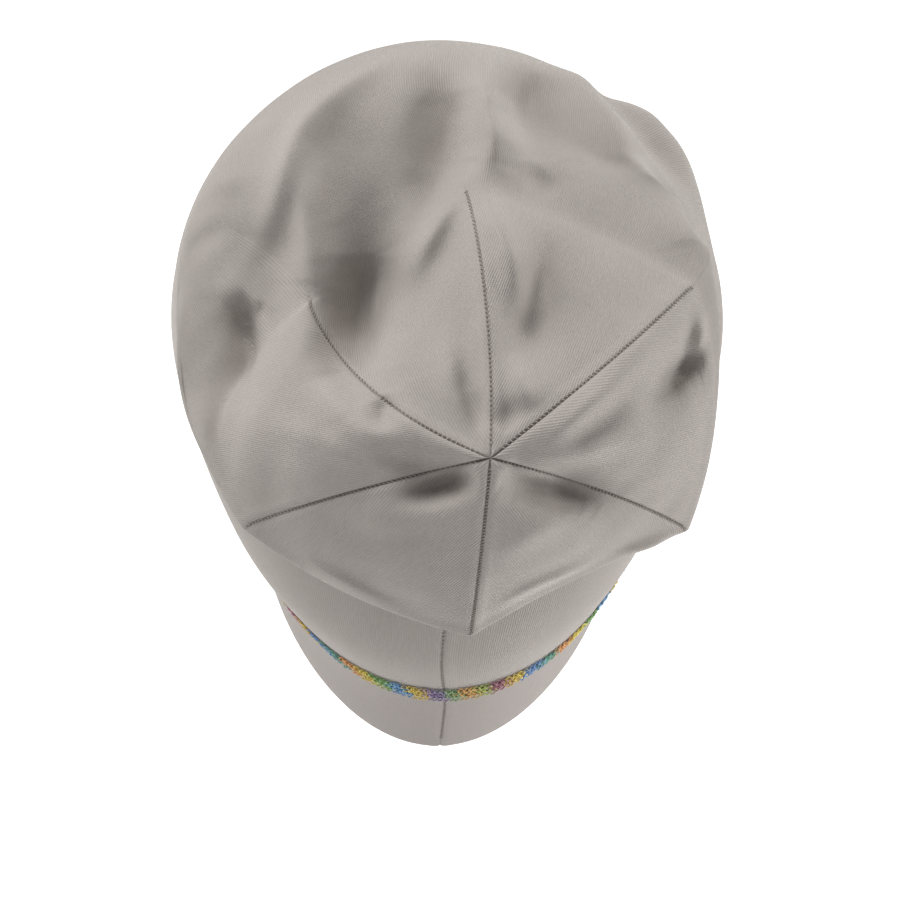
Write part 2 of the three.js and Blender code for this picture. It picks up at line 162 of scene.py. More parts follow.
# Fine wrinkles that the solids leave out, in the same columns.
WRINKLES = [
    (-0.25, 0.64, -0.16, 0.86, -0.01, 0.99, 4, 4),  # crest of the front ridge
    (-0.18, 0.76, -0.04, 0.87, 0.15, 0.97, 6, -5),  # foot of the front ridge on the left
    (-0.32, 0.70, -0.33, 0.81, -0.21, 0.94, 5.5, -5),  # foot of the front ridge on the right
    (-0.01, 0.98, 0.23, 1.06, 0.57, 1.23, 5, 5),  # ridge from the front dart
    (0.62, 0.93, 0.80, 1.24, 1.09, 1.65, 5.5, -6),  # core of the deep valley
    (0.43, 0.93, 0.58, 1.25, 0.86, 1.64, 12, -5),  # slope into the deep valley
    (0.46, 0.85, 0.76, 0.91, 1.02, 1.03, 5, 4),  # crest to dart 1
    (0.12, 0.72, 0.55, 0.83, 1.09, 0.92, 5, 6),  # crest of the long ridge on the left
    (1.03, 0.89, 1.21, 0.95, 1.43, 1.01, 6, 2),  # lower ridge on the left
    (0.80, 0.90, 1.07, 0.97, 1.26, 1.15, 8, -2),  # valley between the left ridges
    (1.11, 0.95, 1.24, 1.00, 1.45, 1.18, 4.5, -7),  # core of the upright valley
    (-0.08, 0.94, -0.15, 1.22, -0.36, 1.55, 4.5, 6),  # crest right of the front dart
    (-0.37, 0.64, -0.81, 0.78, -0.96, 0.97, 4.5, 3),  # crest of the long ridge on the right
    (-0.55, 0.71, -0.85, 0.67, -1.21, 0.72, 8, -7),  # valley outside the long ridge
    (-1.25, 1.03, -1.28, 1.20, -1.37, 1.44, 4.5, -6),  # core of the valley below dart 5
    (-1.08, 1.08, -1.13, 1.57, -1.41, 1.92, 5, 5),  # ridge below seam 5
    (-0.22, 0.93, -0.30, 0.95, -0.38, 0.97, 6, -3.5),  # dent by the front ridge
    (-0.27, 0.91, -0.31, 0.94, -0.39, 0.95, 3, 1.2),  # wrinkle in that dent
    (-1.04, 1.04, -1.15, 1.12, -1.21, 1.19, 4, -1.5),  # wrinkle at dart 5
    (-1.10, 0.99, -1.19, 1.06, -1.26, 1.11, 3, 2.5),  # ridge at dart 5
    (2.03, 1.92, 2.08, 1.78, 2.08, 1.59, 3.4, 3.5),  # lip above the left hollow
    (-2.06, 1.92, -2.08, 1.80, -1.98, 1.64, 3.4, 3.5),  # lip above the right hollow
    (1.10, 1.23, 1.29, 1.49, 1.66, 1.62, 5, 3.5),  # slanting ridge below dart 1
    (0.93, 1.57, 1.12, 1.63, 1.42, 1.64, 4, -4),  # tuck at the bend of dart 1
    (-2.95, 1.10, -2.64, 1.13, -2.35, 1.02, 3.5, 3),  # ridge along the lower right edge
    (2.27, 1.05, 2.42, 1.06, 2.85, 1.04, 3.5, 2.5),  # ridge along the lower left edge
    (-2.38, 1.07, -2.19, 1.04, -2.02, 1.04, 3, 2.5),  # ridge along the lower right corner
    (-1.20, 1.38, -1.28, 1.64, -1.53, 1.83, 4.5, 3),  # soft ridge under seam 5
    (-1.28, 1.43, -1.38, 1.64, -1.72, 1.84, 5, -2.5),  # soft valley under seam 5
    (-1.59, 1.32, -1.63, 1.67, -2.01, 1.91, 5, 4),  # ridge over seam 4
    (0.35, 1.41, 0.42, 1.67, 0.36, 1.88, 5, 4),  # ridge left of seam 0
    (0.29, 1.53, 0.34, 1.73, 0.21, 1.92, 3.5, -4),  # valley left of seam 0
    (-0.21, 1.61, -0.44, 1.72, -0.87, 1.79, 4.5, 4),  # ridge near the apex
    (-0.45, 1.76, -0.40, 1.85, -0.31, 1.92, 4, -2.5),  # wrinkle near the apex
    (1.53, 0.95, 1.63, 0.99, 1.88, 1.03, 5, 3),  # fold at the left rim
    (0.79, 0.72, 0.60, 0.78, 0.44, 0.83, 4, 2.2),  # wrinkle high on the left
    (1.15, 0.69, 0.92, 0.79, 0.75, 0.84, 4.5, 1.3),  # wrinkle on the left side
    (1.29, 0.79, 1.10, 0.83, 0.97, 0.87, 4.5, -1.3),  # wrinkle low on the left
    (2.60, 1.92, 2.28, 1.78, 2.18, 1.56, 4.5, -6),  # crease under the left lip
    (-2.66, 1.92, -2.22, 1.71, -2.13, 1.43, 4.5, -6),  # crease under the right lip
    (-0.34, 1.09, -0.33, 1.40, -0.37, 1.65, 5, -5),  # core of the valley right of that ridge
    (1.53, 1.17, 1.57, 1.46, 1.90, 1.65, 4.5, 2.5),  # crease in the left facet
    (2.09, 1.28, 2.40, 1.39, 2.74, 1.65, 6, -2),  # crease in the lower left facet
    (-2.92, 1.44, -2.54, 1.52, -2.19, 1.43, 5.5, 2.5),  # crease in the lower right facet
]


def linear(hex_colour):
    """A screen colour such as #a9a09b as linear red, green, blue and alpha."""
    values = [int(hex_colour[i:i + 2], 16) / 255 for i in (1, 3, 5)]
    return tuple(v / 12.92 if v <= 0.04045 else ((v + 0.055) / 1.055) ** 2.4 for v in values) + (1.0,)


def unit(vectors):
    """Each vector divided by its own length."""
    return vectors / np.maximum(np.linalg.norm(vectors, axis=-1, keepdims=True), 1e-9)


def bulge(share):
    """A parabola that is 0 at both ends of a share and 1 halfway."""
    return 4 * share * (1 - share)


def through(a, b, c, share):
    """The parabola through three numbers, the middle one halfway."""
    return a * (1 - share) * (1 - 2 * share) + b * bulge(share) + c * share * (2 * share - 1)


def section_points(row, u):
    """A closed curve through a front, a back and two side points.

    x is a sine of the turn, y and z run from front to back as a cosine, and the square of the
    sine pulls them towards the side points."""
    v, front_y, front_z, back_y, back_z, side_y, side_z, half_width, centre_x, egg, roll = row
    turn = u * TAU / DARTS
    c = np.cos(turn)
    s = np.sin(turn)
    mid_y = (front_y + back_y) / 2
    mid_z = (front_z + back_z) / 2
    x = centre_x + half_width * np.sin(turn + egg * s)
    y = mid_y + (front_y - mid_y) * c + (side_y - mid_y) * s * s
    z = mid_z + (front_z - mid_z) * c + (side_z - mid_z) * s * s + roll * s
    return np.stack([x, y, z], -1)


def sides_of(u):
    """For each u its dart, the next dart, and the share of the way between them."""
    index = np.floor(u).astype(int)
    return index % DARTS, (index + 1) % DARTS, (u - index)[..., None]


def outward(corners, i, j):
    """The unit direction from the middle of a hexagon to the middle of its side from i to j."""
    return unit((corners[i] + corners[j]) / 2 - corners.mean(0))


def hexagon_points(corners, bulges, u):
    """Straight sides between six corners, each bulged away from the middle by a parabola."""
    i, j, share = sides_of(u)
    straight = corners[i] * (1 - share) + corners[j] * share
    return straight + bulge(share) * bulges[i][..., None] * outward(corners, i, j)


def crown_points(t, u):
    """The closed end at t from the corners, 0, to the apex, 1.

    Straight across between two bowed seams, plus the side's bulge, which dies out as the square
    of 1 - t, plus a bulge along the panel's own normal."""
    i, j, share = sides_of(u)

    def seam(k):
        return CORNERS[k] * (1 - t) + APEX * t + bulge(t) * BOWS[k]

    normal = unit(np.cross(CORNERS[i] - APEX, CORNERS[j] - APEX))
    points = seam(i) * (1 - share) + seam(j) * share
    points += (1 - t) ** 2 * bulge(share) * EDGE_BULGE[i][..., None] * outward(CORNERS, i, j)
    return points + bulge(t) * bulge(share) * FACET_BULGE[i][..., None] * normal


def column_knots(u):
    """The known points up each column of the cloth, and their v."""
    knot_v = [row[0] for row in SECTIONS] + [UNDER_V] + [1 + t for t in CROWN_KNOTS]
    points = [section_points(row, u) for row in SECTIONS]
    points.append(hexagon_points(UNDERS, UNDER_BULGE, u))
    points += [crown_points(t, u) for t in CROWN_KNOTS]
    return np.array(knot_v), np.array(points)


def smooth_points(u, v):
    """Cubic curves up the columns through their knots, as a grid of rows at v.

    The slope at a knot is the mean of the slopes of the two neighbouring runs, the shorter
    counting more. Between two knots the curve is the cubic with their points and slopes."""
    knot_v, points = column_knots(u)
    span = np.diff(knot_v)[:, None, None]
    runs = np.diff(points, axis=0) / span
    share = span[:-1] / (span[:-1] + span[1:])
    slopes = np.concatenate([runs[:1], runs[:-1] * (1 - share) + runs[1:] * share, runs[-1:]])
    k = np.clip(np.searchsorted(knot_v, v, side="right") - 1, 0, len(knot_v) - 2)
    h = span[k]
    x = ((v - knot_v[k])[:, None, None]) / h
    return (
        (2 * x ** 3 - 3 * x ** 2 + 1) * points[k]
        + (x ** 3 - 2 * x ** 2 + x) * h * slopes[k]
        + (3 * x ** 2 - 2 * x ** 3) * points[k + 1]
        + (x ** 3 - x ** 2) * h * slopes[k + 1]
    )


def grid_normals(points):
    """Unit normals of a grid that closes round its columns: steps round crossed with steps up."""
    around = np.roll(points, -1, 1) - np.roll(points, 1, 1)
    return unit(np.cross(around, np.gradient(points, axis=0)))


def fold_ways(u, v):
    """The way a fold lifts the cloth at pairs of u and v.

    Where the cloth faces as the closed end does it is that way, so a fold keeps its place seen from
    there. Where it faces away it is straight out of the cloth, and between them it is a blend."""
    ways = []
    for a, b in zip(u, v):
        side = smooth_points(np.array([a - FACING_STEP, a + FACING_STEP]), np.array([b]))[0]
        up = smooth_points(np.array([a]), np.array([b - FACING_STEP, min(b + FACING_STEP, 2)]))[:, 0]
        way = unit(np.cross(side[1] - side[0], up[1] - up[0]))
        share = np.clip((way @ CLOSED_END_FACES - FACING_NONE) / (FACING_FULL - FACING_NONE), 0, 1)
        ways.append(unit(way * (1 - share) + CLOSED_END_FACES * share))
    return np.array(ways)


@lru_cache(maxsize=None)
def fold_line(places):
    """A fold's line over the smooth surface: the share along it, its points and its ways.

    It is kept once made, since several pieces are laid on the same folds."""
    from_u, from_v, via_u, via_v, to_u, to_v = places
    steps = np.linspace(0, 1, FOLD_STEPS + 1)
    line_u = through(from_u, via_u, to_u, steps)
    line_v = through(from_v, via_v, to_v, steps)
    line = [smooth_points(np.array([a]), np.array([b]))[0, 0] for a, b in zip(line_u, line_v)]
    return steps, np.array(line), fold_ways(line_u, line_v)


def fold_push(points, v, folds):
    """How far and which way the folds push each point of a grid.

    Across a fold's line the push falls off as a bell: e to the minus square of the distance over
    the half width. It goes the way that the line has at its nearest place, and it rises from 0
    over a stretch at both ends. Folds of the closed end stay off the hidden side of the cloth."""
    push = np.zeros(points.shape)
    row_v = np.broadcast_to(v[:, None], points.shape[:2])
    for fold in folds:
        steps, line, ways = fold_line(fold[:6])
        width, height = fold[6:]
        reach = 3 * width
        near = ((points > line.min(0) - reach) & (points < line.max(0) + reach)).all(-1)
        spots = points[near]
        best = np.full(len(spots), 1e9)
        along = np.zeros(len(spots))
        for i in range(FOLD_STEPS):
            start, step = line[i], line[i + 1] - line[i]
            share = np.clip(((spots - start) @ step) / (step @ step), 0, 1)
            away = np.linalg.norm(spots - start - share[:, None] * step, axis=-1)
            closer = away < best
            best = np.where(closer, away, best)
            along = np.where(closer, (i + share) / FOLD_STEPS, along)
        way = np.stack([np.interp(along, steps, ways[:, k]) for k in range(3)], -1)
        ends = np.minimum(1, np.minimum(along, 1 - along) / FOLD_RISE)
        rise = height * np.exp(-((best / width) ** 2)) * ends ** 2 * (3 - 2 * ends)
        if min(fold[1:6:2]) >= CLOSED_END_V:
            rise = rise * np.clip((row_v[near] - 1) / CLOSED_END_START, 0, 1)
        push[near] += rise[:, None] * way
    return push


def seam_distance(points, u):
    """How far each point of a grid is from the nearest dart's line, and which dart that is.

    The distance is measured round the point's own row."""
    columns = len(u)
    steps = np.linalg.norm(np.roll(points, -1, 1) - points, axis=-1)
    length = np.concatenate([np.zeros((len(points), 1)), np.cumsum(steps, axis=1)], axis=1)
    nearest = np.rint(u).astype(int)
    column_of_dart = np.where(nearest < DARTS, np.searchsorted(u, nearest), columns)
    return length[:, :columns] - length[:, column_of_dart], nearest % DARTS


def seam_heights(points, u, v, depth):
    """The sewn dart seams and the back seam: a narrow groove with a soft swell on both sides.

    Groove and swell are bells over the distance from the seam. Also gives how deep in the groove
    each point is, from 0 to 1, which sets the painted shade in the groove."""
    away, dart = seam_distance(points, u)
    on_dart = np.clip((v[:, None] - 1) / DART_SEAM_START, 0, 1)
    strength = np.maximum(on_dart, (dart == BACK) * BACK_SEAM_SHARE)
    groove = np.exp(-((away / GROOVE_HALF) ** 2))
    swell = np.exp(-(((np.abs(away) - SWELL_AWAY) / SWELL_HALF) ** 2))
    return strength * (-depth * groove + SWELL_SHARE * depth * swell), strength * groove


def warped_columns(count):
    """Values of u round the cap, drawn closer at each dart so the narrow seams are caught.

    From evenly spaced values a share of a sine with one turn for each panel is taken away."""
    share = np.arange(count) / count * DARTS
    return share - COLUMN_DRAW * np.sin(TAU * share) / TAU


def crumples(points, v):
    """The slight unevenness of worn jersey, in millimetres: waves that cross at many slants.

    The longer a wave, the higher it is. They fade out towards the stretched band."""
    rng = np.random.default_rng(5)
    total = np.zeros(points.shape[:2])
    for _ in range(CRUMPLE_WAVES):
        way = unit(rng.normal(size=3))
        wave = rng.uniform(CRUMPLE_SHORTEST, CRUMPLE_LONGEST)
        total += wave / CRUMPLE_LONGEST * np.sin(points @ way * TAU / wave + rng.uniform(0, TAU))
    return CRUMPLE * total * np.clip((v[:, None] - CRUMPLE_V) / CRUMPLE_RUN, 0, 1)


def folded_points(u, v):
    """The outer side of the cloth with its folds, wrinkles and crumples, but no seams."""
    smooth = smooth_points(u, v)
    pushed = smooth + fold_push(smooth, v, FOLDS + WRINKLES)
    return pushed + crumples(smooth, v)[..., None] * CLOSED_END_FACES


def cloth_grid(u, v, seam_depth):
    """The outer side of the cloth as a grid, its normals and how deep each point is in a seam."""
    points = folded_points(u, v)
    normal = grid_normals(points)
    heights, seam = seam_heights(points, u, v, seam_depth)
    points = points + heights[..., None] * normal
    return points, grid_normals(points), seam


def cloth_uv(u, v, panel):
    """Flat cloth coordinates in metres: round the tube, and up it.

    In the tube the ribs of the knit run straight up. In the closed end each panel narrows by the
    dart beside it, so its ribs stay parallel to the panel's middle line."""
    t = np.clip(v - 1, 0, 1)
    across = (panel + 0.5) * DART_WIDTH + (u - panel - 0.5) * DART_WIDTH * (1 - t)
    up = np.minimum(v, 1) * TUBE_LENGTH + t * DART_LENGTH
    return np.stack([across, up], -1) * MM


def bare_mesh(name, points, corners, sizes):
    """A smooth-shaded mesh from points in millimetres and the faces' corners and sizes."""
    mesh = bpy.data.meshes.new(name)
    mesh.vertices.add(len(points))
    mesh.vertices.foreach_set("co", (points * MM).astype(np.float32).reshape(-1))
    mesh.loops.add(len(corners))
    mesh.loops.foreach_set("vertex_index", corners.astype(np.int32))
    mesh.polygons.add(len(sizes))
    mesh.polygons.foreach_set("loop_start", (np.cumsum(sizes) - sizes).astype(np.int32))
    mesh.polygons.foreach_set("use_smooth", np.ones(len(sizes), bool))
    return mesh


def linked_piece(name, mesh, material):
    """Finishes a mesh, gives it its material and puts it into the scene as a piece."""
    mesh.update(calc_edges=True)
    mesh.materials.append(material)
    piece = bpy.data.objects.new(name, mesh)
    bpy.context.collection.objects.link(piece)
    return piece


class ClothMesh:
    """Gathers rows of points and the faces between them, with flat cloth coordinates."""

    def __init__(self):
        self.points = []
        self.marks = []
        self.faces = []
        self.uvs = []
        self.count = 0

    def add(self, points, marks):
        """Adds points with how deep in a seam each is, for painted shade, and gives the number of the first.
        """
        start = self.count
        flat = points.reshape(-1, 3)
        self.points.append(flat)
        self.marks.append(np.broadcast_to(marks, points.shape[:-1]).reshape(-1))
        self.count += len(flat)
        return start

    def add_faces(self, corners, corner_u, corner_v, inward=False):
        """Adds faces, each a row of the corners' numbers, with the u and v of each corner.

        A u beyond the last column counts on instead of starting again at 0."""
        if inward:
            corners, corner_u, corner_v = corners[:, ::-1], corner_u[:, ::-1], corner_v[:, ::-1]
        panel = np.floor(corner_u.mean(1, keepdims=True) + 1e-9)
        self.faces.append(corners)
        self.uvs.append(cloth_uv(corner_u, corner_v, panel).reshape(-1, 2))

    def add_quads(self, start, rows, u, v, inward=False):
        """Four-sided faces between neighbouring rows of a grid that closes round."""
        for r in range(rows - 1):
            lower = start + r * len(u)
            self.add_strip(lower, lower + len(u), u, v[r], v[r + 1], inward)

    def add_strip(self, lower, upper, u, v_lower, v_upper, inward=False):
        """Four-sided faces from one row of points to another."""
        columns = len(u)
        c = np.arange(columns)
        d = (c + 1) % columns
        wrapped = np.append(u, u[0] + DARTS)
        corners = np.stack([lower + c, lower + d, upper + d, upper + c], -1)
        corner_u = np.stack([wrapped[c], wrapped[c + 1], wrapped[c + 1], wrapped[c]], -1)
        corner_v = np.broadcast_to([v_lower, v_lower, v_upper, v_upper], corner_u.shape)
        self.add_faces(corners, corner_u, corner_v, inward)

    def add_fan(self, row, tip, u, v_row, inward=False):
        """Triangles from a row to one point."""
        columns = len(u)
        c = np.arange(columns)
        d = (c + 1) % columns
        wrapped = np.append(u, u[0] + DARTS)
        corners = np.stack([row + c, row + d, np.full(columns, tip)], -1)
        corner_u = np.stack([wrapped[c], wrapped[c + 1], (wrapped[c] + wrapped[c + 1]) / 2], -1)
        corner_v = np.broadcast_to([v_row, v_row, 2.0], corner_u.shape)
        self.add_faces(corners, corner_u, corner_v, inward)

    def add_thinning(self, full, thin, every, u, v_full, v_thin):
        """Faces inside the cap from a row with all its columns to one with every few of them."""
        columns = len(u)
        count = columns // every
        j = np.arange(count)
        wrapped = np.append(u, u[0] + DARTS)
        full_corners = [full + (j * every + k) % columns for k in range(every + 1)]
        corners = np.stack([thin + j, thin + (j + 1) % count] + full_corners[::-1], -1)
        full_u = [wrapped[j * every + k] for k in range(every + 1)]
        corner_u = np.stack([full_u[0], full_u[-1]] + full_u[::-1], -1)
        corner_v = np.broadcast_to([v_thin, v_thin] + [v_full] * (every + 1), corner_u.shape)
        self.add_faces(corners, corner_u, corner_v)

    def build(self, name, material):
        """Puts the arrays into a piece, in metres, with its UV map and seam marks for painted shade."""
        corners = np.concatenate([f.reshape(-1) for f in self.faces])
        sizes = np.concatenate([np.full(len(f), f.shape[1]) for f in self.faces])
        mesh = bare_mesh(name, np.concatenate(self.points), corners, sizes)
        uv_map = mesh.uv_layers.new(name="cloth")
        uv_map.data.foreach_set("uv", np.concatenate(self.uvs).astype(np.float32).reshape(-1))
        seam = mesh.attributes.new("seam", "FLOAT", "POINT")
        seam.data.foreach_set("value", np.concatenate(self.marks).astype(np.float32))
        piece = linked_piece(name, mesh, material)
        if mesh.validate():
            raise ValueError(f"{name} has faulty faces")
        return piece


def add_node(nodes, kind, inputs=None, **settings):
    """Adds a shader node with its settings; inputs gives sockets a value or another's output."""
    node = nodes.new(kind)
    for key, value in settings.items():
        setattr(node, key, value)
    for socket, value in (inputs or {}).items():
        if isinstance(value, bpy.types.NodeSocket):
            node.id_data.links.new(value, node.inputs[socket])
        else:
            node.inputs[socket].default_value = value
    return node


def maths(nodes, operation, *values):
    """The output of a maths node; each value is a number or another node's output."""
    return add_node(nodes, "ShaderNodeMath", dict(enumerate(values)), operation=operation).outputs[0]


def noise(nodes, coords, inputs):
    """The output of a noise texture that is fixed to the piece."""
    return add_node(nodes, "ShaderNodeTexNoise", {"Vector": coords.outputs["Object"], **inputs}).outputs[0]


def shaded(nodes, colour, shade):
    """A colour times a shade."""
    return add_node(nodes, "ShaderNodeVectorMath", {0: colour, "Scale": shade}, operation="SCALE").outputs[0]


def empty_material(name):
    """A material without nodes, and its list of nodes."""
    material = bpy.data.materials.new(name)
    material.use_nodes = True
    nodes = material.node_tree.nodes
    nodes.clear()
    return material, nodes


def give_surface(nodes, inputs):
    """Adds a surface with its inputs and makes it the material's output."""
    surface = add_node(nodes, "ShaderNodeBsdfPrincipled", inputs)
    add_node(nodes, "ShaderNodeOutputMaterial", {"Surface": surface.outputs[0]})


# The knit: how far the ribs wander, in metres, how much the loops lean with the ribs and stand
# out beside them, the height of the nap beside the ribs, and the depth of the bumps, in metres.
RIB_WANDER = 0.0006
LOOP_LEAN = 1.4
LOOP_SHARE = 0.35
NAP_SHARE = 1.6
KNIT_DEPTH = 0.00012
# Tone changes: painted shade in the knit's grooves, slow mottles, nap, and painted shade in a seam's groove.
KNIT_SHADE = 0.045
MOTTLE_TONE = 0.10
NAP_TONE = 0.22
SEAM_SHADE = -0.22


def jersey_material(name, settings, tone):
    """Single cotton jersey: fine ribs of loops, matt, with a soft nap that catches light at the rims.

    The ribs are a sine of the way round the cloth. The loops are a sine of the way up it, shifted
    by the ribs. Ribs, loops and nap together make the bumps."""
    material, nodes = empty_material(name)
    uv = add_node(nodes, "ShaderNodeUVMap", uv_map="cloth")
    place = add_node(nodes, "ShaderNodeSeparateXYZ", {0: uv.outputs[0]})
    coords = add_node(nodes, "ShaderNodeTexCoord")
    # A slow wander keeps the ribs from looking ruled.
    wander = noise(nodes, coords, {"Scale": 60.0, "Detail": 2.0})
    across = maths(nodes, "ADD", place.outputs[0], maths(nodes, "MULTIPLY", wander, RIB_WANDER))
    ribs = maths(nodes, "SINE", maths(nodes, "MULTIPLY", across, TAU / settings.wale_spacing))
    course = maths(nodes, "MULTIPLY", place.outputs[1], TAU / settings.course_spacing)
    loops = maths(nodes, "SINE", maths(nodes, "MULTIPLY_ADD", ribs, LOOP_LEAN, course))
    knit = maths(nodes, "MULTIPLY_ADD", loops, LOOP_SHARE, ribs)
    nap = noise(nodes, coords, {"Scale": 900.0, "Detail": 3.0, "Roughness": 0.7})
    height = maths(nodes, "MULTIPLY_ADD", nap, NAP_SHARE, knit)
    bump = add_node(nodes, "ShaderNodeBump", {"Height": height, "Strength": 0.55, "Distance": KNIT_DEPTH})
    cloud = noise(nodes, coords, {"Scale": 28.0, "Detail": 3.0})
    # The seam attribute darkens the colour along each groove as painted shade.
    seam = add_node(nodes, "ShaderNodeAttribute", attribute_name="seam")
    # Each part changes the tone by its share times how far it is from the value that changes nothing.
    # The knit's low places darken the colour as painted shade.
    shade = 1.0
    for part, share, neutral in (
        (knit, KNIT_SHADE, 1),
        (cloud, MOTTLE_TONE, 0.5),
        (nap, NAP_TONE, 0.5),
        (seam.outputs["Fac"], SEAM_SHADE, 0),
    ):
        factor = maths(nodes, "MULTIPLY_ADD", part, share, 1 - share * neutral)
        shade = maths(nodes, "MULTIPLY", shade, factor)
    # Cotton is nearly matt, and its nap lights up warm and pale where the cloth turns away.
    give_surface(nodes, {
        "Base Color": shaded(nodes, tone[:3], shade),
        "Roughness": 0.92,
        "Sheen Weight": settings.sheen,
        "Sheen Roughness": 0.45,
        "Sheen Tint": linear("#f4efe9"),
        "Specular IOR Level": 0.25,
        "Normal": bump.outputs[0],
    })
    return material


def thread_material(name):
    """Loose cotton thread: its colour comes from the thread itself, loop by loop.

    Its twist shows as fine bumps and specks, and it is a little smoother than the jersey."""
    material, nodes = empty_material(name)
    dye = add_node(nodes, "ShaderNodeAttribute", attribute_name="dye")
    coords = add_node(nodes, "ShaderNodeTexCoord")
    twist = noise(nodes, coords, {"Scale": 2500.0, "Detail": 2.0})
    shade = maths(nodes, "MULTIPLY_ADD", twist, 0.5, 0.75)
    bump = add_node(nodes, "ShaderNodeBump", {"Height": twist, "Strength": 0.5, "Distance": 0.0001})
    give_surface(nodes, {
        "Base Color": shaded(nodes, dye.outputs["Color"], shade),
        "Roughness": 0.65,
        "Sheen Weight": 0.2,
        "Normal": bump.outputs[0],
    })
    return material


# A thread is a ring of flat sides round each point of its path.
THREAD_SIDES = 4


def tubes_along(paths, closed, radius):
    """Many thin threads at once: paths is threads by points by 3.

    Each thread gets a ring of sides round every point, across its own direction."""
    count, steps, _ = paths.shape
    if closed:
        ahead = unit(np.roll(paths, -1, 1) - np.roll(paths, 1, 1))
    else:
        ahead = unit(np.gradient(paths, axis=1))
    middle = paths.mean(1, keepdims=True)
    helper = np.cross(paths[:, :1] - middle, paths[:, steps // 3:steps // 3 + 1] - middle)
    helper = np.where(np.linalg.norm(helper, axis=-1, keepdims=True) > 1e-9, helper, [0.3, 0.2, 1.0])
    side = unit(np.cross(ahead, helper))
    other = np.cross(ahead, side)
    angle = np.arange(THREAD_SIDES) / THREAD_SIDES * TAU
    ring = np.cos(angle)[:, None] * side[:, :, None] + np.sin(angle)[:, None] * other[:, :, None]
    points = paths[:, :, None] + radius * ring
    runs = steps if closed else steps - 1
    n, s, k = np.meshgrid(np.arange(count), np.arange(runs), np.arange(THREAD_SIDES), indexing="ij")
    here = (n * steps + s) * THREAD_SIDES
    there = (n * steps + (s + 1) % steps) * THREAD_SIDES
    next_k = (k + 1) % THREAD_SIDES
    quads = np.stack([here + k, here + next_k, there + next_k, there + k], -1).reshape(-1, 4)
    return points.reshape(-1, 3), quads


def thread_piece(name, points, quads, dye, material):
    """One joined mesh of threads with the dye of each point, as a piece of the body."""
    mesh = bare_mesh(name, points, quads.reshape(-1), np.full(len(quads), 4))
    layer = mesh.color_attributes.new("dye", "FLOAT_COLOR", "POINT")
    layer.data.foreach_set("color", dye.astype(np.float32).reshape(-1))
    piece = linked_piece(name, mesh, material)
    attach(piece, BODY)
    return piece


# The fine grid that the stripe is laid on: its columns, its rows and its margin in v.
LAID_COLUMNS = 1440
LAID_ROWS = 8
LAID_MARGIN = 0.01


def surface_frame(u, v):
    """Points of the cloth at lists of u and v, with the directions round, up and out of it.

    The lists are placed on a fine grid of the cloth and read between its nearest grid lines."""
    columns = LAID_COLUMNS
    grid_u = np.arange(columns) / columns * DARTS
    rows = np.linspace(v.min() - LAID_MARGIN, v.max() + LAID_MARGIN, LAID_ROWS)
    points, normals, _ = cloth_grid(grid_u, rows, 0.0)
    at_u = (u % DARTS) / DARTS * columns
    at_v = np.clip((v - rows[0]) / (rows[1] - rows[0]), 0, len(rows) - 1.001)
    c0, r0 = np.floor(at_u).astype(int), np.floor(at_v).astype(int)
    fc, fr = (at_u - c0)[:, None], (at_v - r0)[:, None]
    c0, c1, r1 = c0 % columns, (c0 + 1) % columns, r0 + 1

    def read(values):
        low = values[r0, c0] * (1 - fc) + values[r0, c1] * fc
        high = values[r1, c0] * (1 - fc) + values[r1, c1] * fc
        return low * (1 - fr) + high * fr

    around = unit(points[r0, c1] - points[r0, c0])
    normal = unit(read(normals))
    return read(points), around, np.cross(normal, around), normal


def seam_frame(dart, v):
    """Points of the folded cloth along one seam, with the directions round, up and out of it."""
    points = folded_points(np.array([dart - SEAM_STEP, dart, dart + SEAM_STEP]), v)
    around = unit(points[:, 2] - points[:, 0])
    out = unit(np.cross(around, np.gradient(points[:, 1], axis=0)))
    return points[:, 1], around, np.cross(out, around), out


class ClothSettings(bpy.types.PropertyGroup):
    """Sizes and finish of the jersey."""

    wall: FloatProperty(
        name="Cloth thickness", description="Thickness of the doubled jersey",
        default=0.0017, unit="LENGTH")
    seam_depth: FloatProperty(
        name="Seam depth", description="How deep the sewn seams sink",
        default=0.0009, unit="LENGTH")
    stitch: FloatProperty(
        name="Stitch spacing", description="Distance between stitches of a seam",
        default=0.0016, precision=5, unit="LENGTH")
    wale_spacing: FloatProperty(
        name="Rib spacing", description="Distance between ribs of the knit",
        default=0.0008, precision=5, unit="LENGTH")
    course_spacing: FloatProperty(
        name="Course spacing", description="Height of one row of loops",
        default=0.0007, precision=5, unit="LENGTH")
    sheen: FloatProperty(
        name="Nap", description="How much the nap lights up at the rims",
        default=0.45, subtype="FACTOR")
    colour: FloatVectorProperty(
        name="Jersey colour", description="Colour of the jersey",
        default=linear("#aaa39e"), size=4, subtype="COLOR")
    band_colour: FloatVectorProperty(
        name="Band colour", description="Colour of the hem band",
        default=linear("#a59d99"), size=4, subtype="COLOR")


class StripeSettings(bpy.types.PropertyGroup):
    """Sizes of the coloured stitching over the joint."""

    rows: IntProperty(name="Rows", description="Rows of loops side by side", default=4)
    loops: IntProperty(name="Loops", description="Loops in a row round the cap", default=225)
    patches: IntProperty(name="Patches", description="Changes of dye round the cap", default=72)
    height: FloatProperty(
        name="Stripe height", description="Height of the whole stripe",
        default=0.0095, unit="LENGTH")
    thread: FloatProperty(
        name="Thread", description="Diameter of the thread",
        default=0.0006, precision=5, unit="LENGTH")


